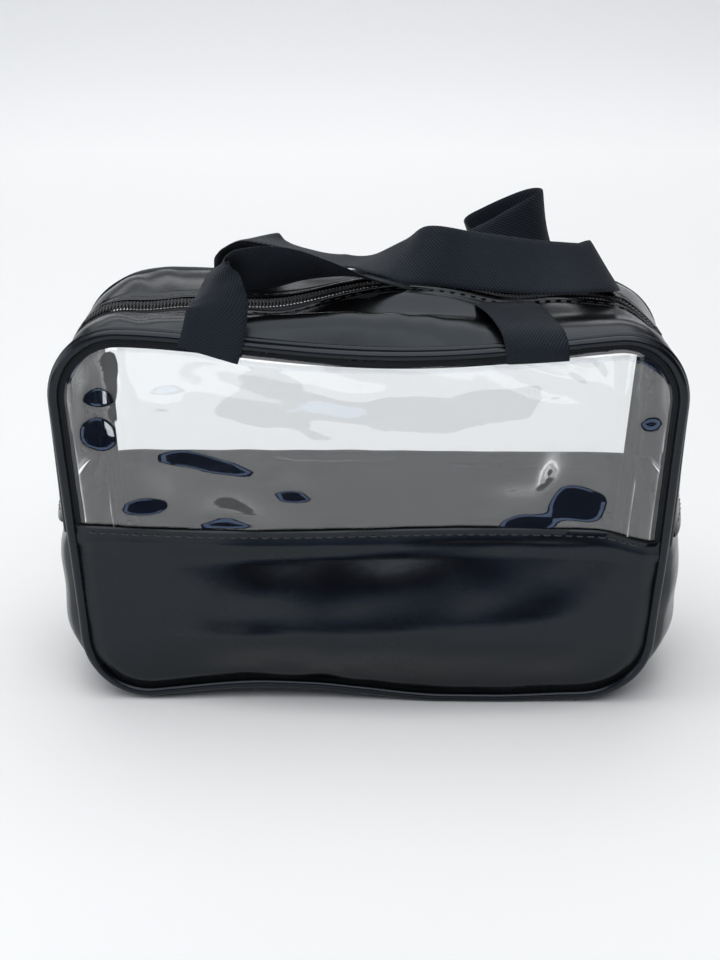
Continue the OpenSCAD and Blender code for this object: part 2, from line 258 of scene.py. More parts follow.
def coated_fabric(name, base, rough, grain=0.000018, wear=0.0):
    """Smooth black coated fabric: fine pebble grain, faint rubbed marks and uneven gloss."""
    n = Nodes(name)
    at = n.position()
    pebble = n.add("ShaderNodeTexVoronoi", {"Vector": at, "Scale": 1500.0}).outputs["Distance"]
    fine = n.noise(at, 2600, 3)
    broad = n.noise(at, 38, 4, 0.6)
    smear = n.noise(at, 11, 3, 0.55)
    normal = n.bump(pebble, grain, 0.35)
    normal = n.bump(fine, grain, 0.5, normal)
    normal = n.bump(broad, 0.0007, 0.4, normal)
    light = tuple(1.5 * c for c in base)
    tone = n.remap(smear, 0.3, 0.75, 0.0, 1.0)
    color = n.mix(tone, (*base, 1), (*light, 1))
    if wear:
        scuff = n.remap(n.noise(at, 420, 6, 0.7), 0.6, 0.82, 0.0, wear)
        color = n.mix(scuff, color, (0.05, 0.05, 0.055, 1))
    n.set(Base_Color=color, Normal=normal)
    n.shader.inputs["Specular IOR Level"].default_value = 0.43
    n.shader.inputs["Specular Tint"].default_value = (0.8, 0.9, 1, 1)
    n.set(Roughness=n.remap(broad, 0.25, 0.75, rough - 0.05, rough + 0.07))
    return n.material


def clear_sheet(name):
    """Soft clear vinyl: see-through, glossy, with a little haze and slow ripples."""
    n = Nodes(name)
    n.tree.nodes.remove(n.shader)
    at = n.position()
    ripple = n.noise(at, 16, 2, 0.45)
    ripple_fine = n.noise(at, 85, 2, 0.5)
    normal = n.bump(ripple, 0.003, 0.5)
    normal = n.bump(ripple_fine, 0.0002, 0.3, normal)
    clear = n.add("ShaderNodeBsdfTransparent", {"Color": (0.992, 0.996, 0.996, 1)})
    gloss = n.add("ShaderNodeBsdfGlossy", {"Color": (1, 1, 1, 1), "Roughness": 0.03, "Normal": normal})
    haze = n.add("ShaderNodeBsdfDiffuse", {"Color": (0.75, 0.77, 0.77, 1), "Normal": normal})
    mirror = n.add("ShaderNodeFresnel", {"IOR": 1.75, "Normal": normal}).outputs[0]
    cloudy = n.remap(n.noise(at, 30, 4, 0.6), 0.35, 0.75, 0.004, 0.014)
    body = n.add("ShaderNodeMixShader", {0: cloudy, 1: clear.outputs[0], 2: haze.outputs[0]})
    skin = n.add("ShaderNodeMixShader", {0: mirror, 1: body.outputs[0], 2: gloss.outputs[0]})
    n.put(n.out.inputs["Surface"], skin.outputs[0])
    return n.material


def woven(name, base, lit, period, chevron, depth, rough=0.75, sheen=0.25):
    """Black tape with a diagonal weave that runs on the piece's own mm grid (its UV map); its raised ribs are
    painted in the lighter lit colour as a painted sheen and its grooves in the dark base colour as painted
    shade.
    """
    n = Nodes(name)
    uv = n.add("ShaderNodeUVMap", uv_map="weave").outputs[0]
    split = n.add("ShaderNodeSeparateXYZ", {0: uv})
    across, along = split.outputs[0], split.outputs[1]
    zigzag = n.math("PINGPONG", across, chevron)
    slant = n.math("ADD", zigzag, along)
    rib = n.math("PINGPONG", slant, period / 2)
    rib = n.math("DIVIDE", rib, period / 2)
    pick = n.math("PINGPONG", across, period / 4)
    pick = n.math("DIVIDE", pick, period / 4)
    weave = n.math("MULTIPLY", n.math("SMOOTH_MIN", rib, 0.8, 0.3), n.remap(pick, 0, 1, 0.55, 1.0))
    fluff = n.noise(n.position(), 1800, 3, 0.6)
    cloud = n.noise(n.position(), 24, 3, 0.6)
    height = n.math("ADD", weave, n.math("MULTIPLY", fluff, 0.35))
    # painted light: the weave's ribs get the lit colour (a painted sheen) and its grooves the base colour
    # (painted shade); the cloud noise adds random tone
    tone = n.math("MULTIPLY", weave, n.remap(cloud, 0.3, 0.7, 0.7, 1.0))
    n.set(Base_Color=n.mix(tone, (*base, 1), (*lit, 1)), Normal=n.bump(height, depth, 0.9))
    n.set(Roughness=n.remap(weave, 0, 1, rough + 0.1, rough - 0.12))
    n.shader.inputs["Specular IOR Level"].default_value = 0.33
    n.shader.inputs["Specular Tint"].default_value = (0.7, 0.85, 1, 1)
    n.shader.inputs["Sheen Weight"].default_value = sheen
    n.shader.inputs["Sheen Roughness"].default_value = 0.4
    return n.material


def thread(name):
    n = Nodes(name)
    uv = n.add("ShaderNodeUVMap", uv_map="weave").outputs[0]
    split = n.add("ShaderNodeSeparateXYZ", {0: uv})
    ply = n.math("PINGPONG", n.math("ADD", split.outputs[0], split.outputs[1]), 0.22)
    n.set(Base_Color=(0.03, 0.031, 0.034, 1), Normal=n.bump(ply, 0.00015, 0.8))
    n.set(Roughness=n.remap(ply, 0, 0.22, 0.75, 0.5))
    n.shader.inputs["Sheen Weight"].default_value = 0.15
    return n.material


def nylon(name):
    n = Nodes(name)
    speck = n.noise(n.position(), 3000, 2)
    n.set(Base_Color=(0.016, 0.016, 0.018, 1), Normal=n.bump(speck, 0.00002, 0.5))
    n.set(Roughness=n.remap(speck, 0.3, 0.7, 0.28, 0.4))
    return n.material


def enamel(name):
    n = Nodes(name)
    at = n.position()
    peel = n.noise(at, 900, 2)
    scuff = n.remap(n.noise(at, 700, 5, 0.7), 0.62, 0.8, 0.0, 0.5)
    color = n.mix(scuff, (0.012, 0.012, 0.014, 1), (0.12, 0.12, 0.125, 1))
    n.set(Base_Color=color, Normal=n.bump(peel, 0.00003, 0.4), Roughness=n.remap(peel, 0.3, 0.7, 0.18, 0.3))
    n.shader.inputs["Coat Weight"].default_value = 0.5
    n.shader.inputs["Coat Roughness"].default_value = 0.1
    return n.material


PU = coated_fabric("black_coated_fabric", (0.0022, 0.0022, 0.0025), 0.24)
PU_CORD = coated_fabric("piping_coated_fabric", (0.002, 0.002, 0.0025), 0.24, wear=0.12)
PU_INSIDE = coated_fabric("coated_fabric_inside", (0.008, 0.008, 0.0085), 0.3)
VINYL = clear_sheet("clear_vinyl")
# each woven tape's second colour is the painted sheen on its ribs
WEBBING = woven(
    "handle_webbing", (0.0012, 0.0014, 0.002), (0.013, 0.015, 0.023), 1.6, 25.0, 0.0003, rough=0.6, sheen=0.05
)
TAPE = woven("zip_tape_weave", (0.003, 0.003, 0.0035), (0.02, 0.02, 0.022), 0.8, 1.2, 0.0001, 0.85)
BINDING = woven("binding_rib", (0.003, 0.003, 0.0035), (0.03, 0.03, 0.033), 1.0, 0.5, 0.0003, 0.8)
THREAD = thread("sewing_thread")
NYLON = nylon("zip_nylon")
ENAMEL = enamel("zip_enamel")

# ---------------------------------------------------------------- the bag's outline
TOP_C = (BAG_W / 2 - CORNER_TOP, BAG_H - CORNER_TOP)
LOW_C = (BAG_W / 2 - SIDE_TAPER - CORNER_BOTTOM, CORNER_BOTTOM)
span = (TOP_C[0] - LOW_C[0], TOP_C[1] - LOW_C[1])
SIDE_ANGLE = math.atan2(span[1], span[0]) - math.acos(
    (CORNER_BOTTOM - CORNER_TOP) / math.hypot(*span)
)


def half_width(z, inset):
    """Half the outline's width at height z, with the outline set in by inset."""
    r_top, r_low = CORNER_TOP - inset, CORNER_BOTTOM - inset
    z_top = TOP_C[1] + r_top * math.sin(SIDE_ANGLE)
    z_low = LOW_C[1] + r_low * math.sin(SIDE_ANGLE)
    if z >= z_top:
        return TOP_C[0] + math.sqrt(max(0, r_top**2 - (z - TOP_C[1]) ** 2))
    if z <= z_low:
        return LOW_C[0] + math.sqrt(max(0, r_low**2 - (z - LOW_C[1]) ** 2))
    x_top = TOP_C[0] + r_top * math.cos(SIDE_ANGLE)
    x_low = LOW_C[0] + r_low * math.cos(SIDE_ANGLE)
    return x_low + (x_top - x_low) * (z - z_low) / (z_top - z_low)


def half_widths(z):
    """half_width for an array of heights, with no inset."""
    heights = np.linspace(0, BAG_H, 200)
    return np.interp(z, heights, [max(half_width(h, 0), 1) for h in heights])


def right_side(inset, step=2.5):
    """The outline's right half, from the bottom's middle to the top's: x, z, outward angle."""
    r_top, r_low = CORNER_TOP - inset, CORNER_BOTTOM - inset
    path = []
    count = int(LOW_C[0] / step)
    path += [(LOW_C[0] * i / count, LOW_C[1] - r_low, -math.pi / 2) for i in range(count)]
    for i in range(19):
        a = -math.pi / 2 + (SIDE_ANGLE + math.pi / 2) * i / 18
        path.append((LOW_C[0] + r_low * math.cos(a), LOW_C[1] + r_low * math.sin(a), a))
    start = path[-1]
    end = (TOP_C[0] + r_top * math.cos(SIDE_ANGLE), TOP_C[1] + r_top * math.sin(SIDE_ANGLE))
    count = int((end[1] - start[1]) / step)
    for i in range(1, count):
        t = i / count
        path.append((start[0] + (end[0] - start[0]) * t, start[1] + (end[1] - start[1]) * t, SIDE_ANGLE))
    for i in range(19):
        a = SIDE_ANGLE + (math.pi / 2 - SIDE_ANGLE) * i / 18
        path.append((TOP_C[0] + r_top * math.cos(a), TOP_C[1] + r_top * math.sin(a), a))
    count = int(TOP_C[0] / step)
    path += [(TOP_C[0] * (1 - i / count), TOP_C[1] + r_top, math.pi / 2) for i in range(1, count + 1)]
    return path


def whole_outline(inset, step=2.5):
    """The closed outline, anticlockwise from the middle of the bottom."""
    right = right_side(inset, step)
    left = [(-x, z, math.pi - a) for x, z, a in right[-2:0:-1]]
    return right + left


# ---------------------------------------------------------------- how the soft bag slumps


def ease(value, low, high):
    """0 below low, 1 above high, and smooth between."""
    t = np.clip((value - low) / (high - low), 0, 1)
    return t * t * (3 - 2 * t)


def hump(value, middle, reach):
    """1 at middle, falling smoothly to 0 at reach on both sides."""
    t = np.clip(np.abs(value - middle) / reach, 0, 1)
    return (1 - t * t) ** 2


def ripples(u, v, seed, wave):
    """Smooth uneven waves, between about -1 and 1."""
    rng = np.random.default_rng(seed)
    total = 0
    for i in range(6):
        a, b, phase = rng.uniform(0, math.pi), rng.uniform(0.7, 1.6), rng.uniform(0, 2 * math.pi)
        k = 2 * math.pi * b / wave
        total = total + np.sin(k * (u * math.cos(a) + v * math.sin(a)) + phase) / 3
    return total


def zip_rise(x):
    """How far the zip line is pushed up."""
    return 9 * hump(x, 16, 62) + 3.8 * hump(x, 88, 34) - 1.5 * hump(x, -100, 20) - 2 * ease(x, 108, 124)


def side_bulge(z, right):
    """How far a side wall stands out halfway between its corded edges."""
    low = 13.0 * ease(z, -4, 34) * (1 - ease(z, 40, 150))
    return np.where(right, low, 0.85 * low)


def soften(points):
    """Moves points of the plain box to where the slumped soft bag has them, in mm."""
    p = np.array(points, float)
    x, y, z = p[..., 0].copy(), p[..., 1].copy(), p[..., 2].copy()
    front = np.clip(-y / PANEL_Y, 0, 1)
    back = np.clip(y / PANEL_Y, 0, 1)
    top = ease(z, 78, BAG_H)
    # the mouth: the front edge sags, the zip line is pushed up, the back edge stands
    edge_fall = -9.3 * hump(x, 12, 118)
    edge_rise = 3.5 * (1 - ease(np.abs(x), 90, 120)) + 0.8 * np.sin(x / 21.0)
    front_share = ease(-y, SLOT_Y, GUSSET_Y)
    back_share = ease(y, SLOT_Y, GUSSET_Y)
    between = 1 - front_share - back_share
    p[..., 2] += (edge_fall * front_share + edge_rise * back_share + zip_rise(x) * between) * top
    # the front strip is puffed up into a roll beside its seam, the back one a little
    roof = ease(z, BAG_H - 14, BAG_H - 2)
    over = (GUSSET_Y + y) / (GUSSET_Y - SLOT_Y)
    puff = np.where(over < 0.22, np.sin(math.pi / 2 * np.clip(over / 0.22, 0, 1)), 1 - ease(over, 0.26, 0.62))
    p[..., 2] += (2.5 + 7 * hump(x, -8, 88)) * puff * roof
    p[..., 2] -= 2.4 * hump(x, 20, 60) * hump(over, 0.64, 0.3) * roof
    p[..., 2] -= 2.6 * ease(-x, -10, 40) * hump(y, -9, 12) * roof
    over = (GUSSET_Y - y) / (GUSSET_Y - SLOT_Y)
    p[..., 2] += 2.2 * np.sin(math.pi * np.clip(over, 0, 1)) * (y > 0) * roof
    # the hem dips at its right end
    p[..., 2] -= 5 * ease(x, 96, 124) * hump(z, HEM_Z, 45) * front**4
    p[..., 2] += 1.2 * np.sin(x / 34.0) * hump(z, HEM_Z, 40) * front**4
    # the front bottom edge lifts off the floor left of the middle
    lift = 6.0 * hump(x, -40, 75) + 1.6 * hump(x, 100, 45)
    p[..., 2] += lift * (1 - ease(z, 0, 55)) * front**3
    # the panels belly out low down and lean back above that
    wide = np.clip(1 - (x / (BAG_W / 2)) ** 2, 0, 1) ** 0.7
    lean_back = 0.3 + 0.7 * (1 - ease(np.abs(x - 14), 58, 118))
    bulge = ease(z, 1, 34) * (1 - 0.92 * np.clip((z - 38 - 0.08 * x) / 35, 0, 1)) - 0.08 * ease(z, 76, 80)
    low_belly = 13.6 * np.clip(bulge, 0, 1) * lean_back
    high_belly = 2.0 * hump(z, 96, 60)
    p[..., 1] += (low_belly + high_belly) * wide * (back**6 - front**6)
    wander = ripples(x, z, 5, 85) * hump(z, 40, 44) * wide
    p[..., 1] += 1.3 * wander * front**6
    # a shallow roll across the lower panel above its belly
    p[..., 1] -= 1.7 * hump(z - 0.06 * x, 59, 16) * hump(x, 0, 90) * front**6
    # short pulls along the bottom edge
    p[..., 1] += 0.9 * np.sin(x / 5.5 + 2 * np.sin(x / 21)) * hump(z, 9, 9) * hump(x, -35, 60) * front**6
    p[..., 1] += 2.2 * hump(x, 5, 110) * ease(z, 120, BAG_H) * front**4
    # the side walls bulge between their corded edges
    gap = np.sqrt(np.clip(1 - (y / GUSSET_Y) ** 2, 0, 1))
    side = np.clip(np.abs(x) / half_widths(z), 0, 1) ** 8
    p[..., 0] += np.sign(x) * side_bulge(z, x > 0) * gap * side
    return p


def fold(points, seed, amount, wave, u, v):
    """Adds small creases along the surface's own normal."""
    normal = grid_normals(points)
    return points + normal * (amount * ripples(u, v, seed, wave))[..., None]


# ---------------------------------------------------------------- mesh makers


def grid_normals(p):
    """Unit normals of a grid of points, rows by columns."""
    along = np.gradient(p, axis=0)
    over = np.gradient(p, axis=1)
    normal = np.cross(over, along)
    return normal / np.maximum(np.linalg.norm(normal, axis=2, keepdims=True), 1e-9)


def make_object(name, verts, faces, uvs, material):
    """A smooth-shaded piece from points in mm, with its own mm grid as the UV map."""
    mesh = bpy.data.meshes.new(name)
    mesh.from_pydata((np.asarray(verts) * MM).tolist(), [], faces)
    layer = mesh.uv_layers.new(name="weave")
    flat = np.asarray(uvs, float)[[loop.vertex_index for loop in mesh.loops]]
    layer.data.foreach_set("uv", flat.ravel())
    mesh.polygons.foreach_set("use_smooth", [True] * len(faces))
    mesh.materials.append(material)
    mesh.update()
    obj = bpy.data.objects.new(name, mesh)
    bpy.context.scene.collection.objects.link(obj)
    return obj


def slab(name, grid, thickness, material, outward=1.0, lining=None, normal=None):
    """A closed sheet: the grid is its outer face, the thickness goes inward, a lining may face in.

    outward is 1 or -1, the side of the grid's own normals that faces out; normal gives them all instead.
    """
    rows, cols = grid.shape[:2]
    normal = grid_normals(grid) * outward if normal is None else normal
    inner = grid - normal * thickness
    run = np.concatenate([[0], np.cumsum(np.linalg.norm(np.diff(grid[:, cols // 2], axis=0), axis=1))])
    over = np.concatenate([[0], np.cumsum(np.linalg.norm(np.diff(grid[rows // 2], axis=0), axis=1))])
    uv = np.stack(np.meshgrid(over, run), axis=2).reshape(-1, 2)
    verts = np.concatenate([grid.reshape(-1, 3), inner.reshape(-1, 3)])
    n = rows * cols

    def at(r, c, side=0):
        return side * n + r * cols + c

    faces = []
    for r in range(rows - 1):
        for c in range(cols - 1):
            faces.append((at(r, c), at(r, c + 1), at(r + 1, c + 1), at(r + 1, c)))
            faces.append((at(r, c, 1), at(r + 1, c, 1), at(r + 1, c + 1, 1), at(r, c + 1, 1)))
    for r in range(rows - 1):
        faces.append((at(r, 0), at(r + 1, 0), at(r + 1, 0, 1), at(r, 0, 1)))
        faces.append((at(r, cols - 1), at(r, cols - 1, 1), at(r + 1, cols - 1, 1), at(r + 1, cols - 1)))
    for c in range(cols - 1):
        faces.append((at(0, c), at(0, c, 1), at(0, c + 1, 1), at(0, c + 1)))
        faces.append((at(rows - 1, c), at(rows - 1, c + 1), at(rows - 1, c + 1, 1), at(rows - 1, c, 1)))
    obj = make_object(name, verts, faces, np.concatenate([uv, uv]), material)
    if lining:
        obj.data.materials.append(lining)
        for face in obj.data.polygons:
            if all(v >= n for v in face.vertices):
                face.material_index = 1
    fix_normals(obj)
    return obj


def fix_normals(obj):
    bm = bmesh.new()
    bm.from_mesh(obj.data)
    bmesh.ops.recalc_face_normals(bm, faces=bm.faces)
    bm.to_mesh(obj.data)
    bm.free()


def mark_edges(obj, degrees=50):
    obj.data.set_sharp_from_angle(angle=math.radians(degrees))
    return obj


def tube(name, path, radius, material, sides=12, closed=False):
    """A round tube along a path; radius is one number or one per point."""
    path = np.asarray(path, float)
    count = len(path)
    radius = np.broadcast_to(np.asarray(radius, float), (count,))
    if closed:
        run = np.roll(path, -1, 0) - np.roll(path, 1, 0)
    else:
        run = np.gradient(path, axis=0)
    run /= np.linalg.norm(run, axis=1, keepdims=True)
    side = np.cross(run, (0.0, 1.0, 0.0))
    side /= np.maximum(np.linalg.norm(side, axis=1, keepdims=True), 1e-9)
    lift = np.cross(side, run)
    angles = np.linspace(0, 2 * math.pi, sides, endpoint=False)
    verts, uvs, faces = [], [], []
    length = np.concatenate([[0], np.cumsum(np.linalg.norm(np.diff(path, axis=0), axis=1))])
    for i in range(count):
        for a in angles:
            verts.append(path[i] + radius[i] * (math.cos(a) * side[i] + math.sin(a) * lift[i]))
            uvs.append((a * radius[i], length[i]))
    for i in range(count if closed else count - 1):
        j = (i + 1) % count
        for k in range(sides):
            m = (k + 1) % sides
            faces.append((i * sides + k, i * sides + m, j * sides + m, j * sides + k))
    if not closed:
        faces.append(tuple(range(sides)))
        faces.append(tuple((count - 1) * sides + k for k in reversed(range(sides))))
    obj = make_object(name, verts, faces, uvs, material)
    fix_normals(obj)
    return obj


def unit(vectors):
    return vectors / np.linalg.norm(vectors, axis=-1, keepdims=True)


def add_strand(parts, centre, run, guide, along, radius, flatten=1.0, sides=6):
    """Adds one short thick thread with closed ends to parts, which is (verts, faces, uvs)."""
    verts, faces, uvs = parts
    side = unit(np.cross(run, guide))
    lift = np.cross(side, run)
    base, rings = len(verts), len(centre)
    for i in range(rings):
        for k in range(sides):
            a = 2 * math.pi * k / sides
            verts.append(centre[i] + radius * (math.cos(a) * side[i] + flatten * math.sin(a) * lift[i]))
            uvs.append((a * radius, along[i]))
    for i in range(rings - 1):
        for k in range(sides):
            m = (k + 1) % sides
            corners = (i * sides + k, i * sides + m, (i + 1) * sides + m, (i + 1) * sides + k)
            faces.append(tuple(base + corner for corner in corners))
    faces.append(tuple(base + k for k in reversed(range(sides))))
    faces.append(tuple(base + (rings - 1) * sides + k for k in range(sides)))


def stitch_row(name, path, outward, material, length=2.8, radius=0.2):
    """Lock stitches along a path: each one is a short thread whose ends dive into the cloth."""
    path = np.asarray(path, float)
    outward = np.asarray(outward, float)
    dist = np.concatenate([[0], np.cumsum(np.linalg.norm(np.diff(path, axis=0), axis=1))])
    parts = [], [], []
    for n in range(int((dist[-1] - length) / STITCH_PITCH)):
        start = (n + 0.5) * STITCH_PITCH
        s = np.linspace(start, start + length, 5)
        centre = np.stack([np.interp(s, dist, path[:, k]) for k in range(3)], 1)
        out = unit(np.stack([np.interp(s, dist, outward[:, k]) for k in range(3)], 1))
        arch = np.array([-1.2, 0.35, 0.6, 0.35, -1.2]) * radius
        centre = centre + out * arch[:, None]
        add_strand(parts, centre, unit(np.gradient(centre, axis=0)), out, s - start, radius)
    obj = make_object(name, *parts, material)
    fix_normals(obj)
    return obj


def settle(obj, body, slot, *nodes):
    """Every piece rides on a body and stands for its CAD nodes, which are hidden; the slot is not used."""
    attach(obj, body)
    if nodes:
        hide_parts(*nodes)


def bend(obj, flap, side, slot, *nodes):
    """A piece of the mouth: its transform is baked into its mesh and its CAD nodes are hidden; flap, side and
    slot are not used.
    """
    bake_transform(obj)
    if nodes:
        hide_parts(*nodes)


# ---------------------------------------------------------------- front and back panels
SHEET_IN = 2 * CORD_R - 1.2       # the sheets run on under the cord
SIDES = {"front": -1, "back": 1}


def rows_between(z0, z1, inset, step=2.5):
    """Heights of the grid's rows, closer together round the corners."""
    heights = [z0]
    z = z0
    while z < z1 - 0.05:
        near_top = z > TOP_C[1]
        near_low = z < LOW_C[1]
        fine = step
        if near_top:
            fine = max(0.25, step * math.sqrt(max(0.0, (BAG_H - inset - z) / CORNER_TOP)))
        if near_low:
            fine = max(0.25, step * math.sqrt(max(0.0, (z - inset) / CORNER_BOTTOM)))
        z = min(z1, z + fine)
        heights.append(z)
    return heights


def panel_grid(y, z0, z1, inset, cols=90):
    heights = rows_between(z0, z1, inset)
    grid = np.zeros((len(heights), cols + 1, 3))
    for r, z in enumerate(heights):
        hw = half_width(z, inset)
        grid[r, :, 0] = np.linspace(-hw, hw, cols + 1)
        grid[r, :, 1] = y
        grid[r, :, 2] = z
    return grid


def edge_distance(grid):
    """How far each point of a panel lies inside the outline."""
    outline = np.array([(x, z) for x, z, _ in whole_outline(0)])
    flat = grid[..., (0, 2)].reshape(-1, 1, 2)
    return np.linalg.norm(flat - outline[None], axis=2).min(1).reshape(grid.shape[:2])


def groove(grid, depth):
    """How far a panel is drawn in beside its cord."""
    return depth * (1 - ease(edge_distance(grid), 2.2 * CORD_R, 4.6 * CORD_R))


def lean(x, z, middle, reach, z_low, z_high, depth, fall):
    """A patch of window that leans back from z_low to z_high; its wandering edge falls to the right."""
    z = z + 1.1 * np.sin(x / 8 + z_low) + 0.35 * np.sin(x / 3.6 + middle) + fall * (x - middle)
    step = ease(z, z_low, z_high) * (1 - ease(z, z_high, z_high + 3.2 * (z_high - z_low)))
    return depth * step * hump(x, middle, reach)


# leaning patches of the front window: middle, reach, from height, to height, depth, fall to the right
PATCHES = [
    (-68, 36, 108, 114, 1.9, 0.1),
    (-32, 14, 95, 101, 1.8, 0.3),
    (-94, 16, 88, 95, 2.1, -0.25),
    (-60, 24, 81, 86, 1.5, 0),
    (88, 20, 83, 101, 5.2, 0),
    (68, 20, 79, 87, 2.2, -0.15),
    (-112, 12, 132, 142, 2.8, 0),
    (-113, 11, 116, 131, 3.9, 0),
    (118, 8, 126, 133, 1.2, 0),
]


def make_window(side):
    sign = SIDES[side]
    grid = panel_grid(sign * (PANEL_Y + WINDOW_T / 2), HEM_Z - 8, BAG_H - SHEET_IN, SHEET_IN, 150)
    x, z = grid[..., 0], grid[..., 2]
    inside = 1 - ease(np.abs(z - (HEM_Z + BAG_H) / 2), 22, 46)
    inside = inside * (1 - ease(np.abs(x), 96, 124))
    wave = 0.8 * ripples(x, z, 11 + sign, 110)
    pull = ripples(x, z, 23 + sign, 90)
    wave += 0.2 * np.sin((z + 0.22 * x) / 2.6 + 1.5 * pull) * np.clip(pull, 0, 1)
    corner = np.hypot(np.abs(x) - TOP_C[0], z - TOP_C[1])
    turn = np.arctan2(z - TOP_C[1], np.abs(x) - TOP_C[0])
    wave += 0.3 * np.sin(turn * 13 + pull) * hump(corner, 20, 12) * (z > TOP_C[1] - 8)
    slack = sum(lean(x, z, *patch) for patch in PATCHES) if side == "front" else 0
    grid[..., 1] += sign * (wave * inside - slack - groove(grid, 1.6))
    grid = soften(grid)
    obj = mark_edges(slab(f"{side}_window_sheet", grid, WINDOW_T, VINYL, -sign))
    settle(obj, "shell", "clear_vinyl", f"{side}_window")


STITCH_DROP = 2.8                  # from the hem's edge down to its stitches


def make_lower_panel(side):
    sign = SIDES[side]
    base = PANEL_Y + WINDOW_T / 2 + 0.1
    grid = panel_grid(sign * (base + FABRIC_T), SHEET_IN, HEM_Z, SHEET_IN)
    z = grid[..., 2]
    # the folded hem is a second layer, drawn in along its stitches
    layer = 0.9 * ease(z, HEM_Z - 10.5, HEM_Z - 8.5) * (1 - ease(z, HEM_Z - 0.7, HEM_Z))
    layer -= 0.6 * hump(z, HEM_Z - STITCH_DROP, 1.6)
    pucker = 0.12 * np.sin(grid[..., 0] / STITCH_PITCH * 2 * math.pi) * hump(z, HEM_Z - STITCH_DROP, 5)
    grid[..., 1] += sign * (layer + pucker - groove(grid, 1.9))
    grid = soften(grid)
    grid = fold(grid, 3 + sign, 0.22, 30, grid[..., 0], grid[..., 2])
    obj = mark_edges(slab(f"{side}_lower_sheet", grid, FABRIC_T, PU, -sign, PU_INSIDE), 60)
    settle(obj, "shell", "black_pu", f"{side}_lower_panel")
    stitch_z = HEM_Z - STITCH_DROP
    row = panel_grid(sign * (base + FABRIC_T + 0.55), stitch_z, stitch_z + 0.1, SHEET_IN + 5)
    line = soften(row)[0]
    out = np.tile((0.0, sign, 0.0), (len(line), 1))
    stitches = stitch_row(f"{side}_hem_stitches", line, out, THREAD, radius=0.3)
    settle(stitches, "shell", "thread", f"{side}_hem_stitching")


def make_piping(side):
    sign = SIDES[side]
    ideal = np.array([(x, sign * PANEL_Y, z) for x, z, _ in whole_outline(CORD_R)])
    path = soften(ideal)
    lumps = CORD_R * (1 + 0.03 * ripples(ideal[:, 0], ideal[:, 2], 17 + sign, 60))
    obj = tube(f"{side}_piping_cord", path, lumps, PU_CORD, sides=16, closed=True)
    settle(obj, "shell", "piping_pu", f"{side}_piping")


def make_binding(side):
    """Ribbed tape over the raw seam edges, inside the bag."""
    sign = SIDES[side]
    y = sign * (PANEL_Y - WINDOW_T / 2 - 0.4)
    outer = whole_outline(2 * CORD_R - 0.6, 1.5)
    inner = whole_outline(2 * CORD_R + 3.4, 1.5)
    rings = []
    for t in np.linspace(0, 1, 5):
        rings.append([(a[0] + (b[0] - a[0]) * t, y, a[1] + (b[1] - a[1]) * t) for a, b in zip(outer, inner)])
    grid = soften(np.array(rings))
    grid = np.concatenate([grid, grid[:, :1]], axis=1)
    obj = mark_edges(slab(f"{side}_binding_tape", grid, BINDING_T, BINDING, -sign))
    settle(obj, "shell", "binding", f"{side}_seam_binding")


for which in SIDES:
    make_window(which)
    make_lower_panel(which)
    make_piping(which)
    make_binding(which)

# ---------------------------------------------------------------- gussets
STRIP_STEP = 2.0                   # spacing of the grid's rows
BASE_STEP = 2.5


def gusset_grid(path, y0, y1, cols):
    """A grid along a stretch of the outline and across from y0 to y1 (numbers or one per point)."""
    path = np.asarray(path, float)
    y0 = np.broadcast_to(np.asarray(y0, float), (len(path),))
    y1 = np.broadcast_to(np.asarray(y1, float), (len(path),))
    t = np.linspace(0, 1, cols)[None, :]
    grid = np.zeros((len(path), cols, 3))
    grid[..., 0] = path[:, 0:1]
    grid[..., 1] = y0[:, None] + (y1 - y0)[:, None] * t
    grid[..., 2] = path[:, 1:2]
    return grid


def stretch(z_from):
    """The right side from height z_from up and over to the middle of the top."""
    return [p for p in right_side(0, STRIP_STEP) if p[1] >= z_from]


def make_base():
    right = [p for p in right_side(0, BASE_STEP) if p[1] <= SEAM_Z + 1]
    left = [(-x, z, math.pi - a) for x, z, a in right[:0:-1]]
    path = left + right
    grid = gusset_grid(path, -GUSSET_Y, GUSSET_Y, 46)
    # slightly inside the zip gusset where that laps over it
    inset = 1.5 * ease(grid[..., 2], SEAM_Z - 14, SEAM_Z - 3)
    grid[..., 0] -= np.sign(grid[..., 0]) * inset
    z = grid[..., 2]
    lifted = 1.5 * hump(grid[..., 0], 0, 110) * hump(grid[..., 1], 0, 45) * (z < 1)
    grid[..., 2] += lifted
    grid = soften(grid)
    run = np.arange(grid.shape[0])[:, None] * BASE_STEP + 0 * grid[..., 1]
    flat = grid[..., 2] < 2
    grid = np.where(flat[..., None], grid, fold(grid, 41, 0.55, 42, run, grid[..., 1]))
    obj = mark_edges(slab("base_gusset_sheet", grid, FABRIC_T, PU, 1, PU_INSIDE), 60)
    settle(obj, "shell", "black_pu", "base_gusset")


ZIP_END_Z = TOP_C[1] + CORNER_TOP * math.cos(ZIP_CORNER + math.radians(6))


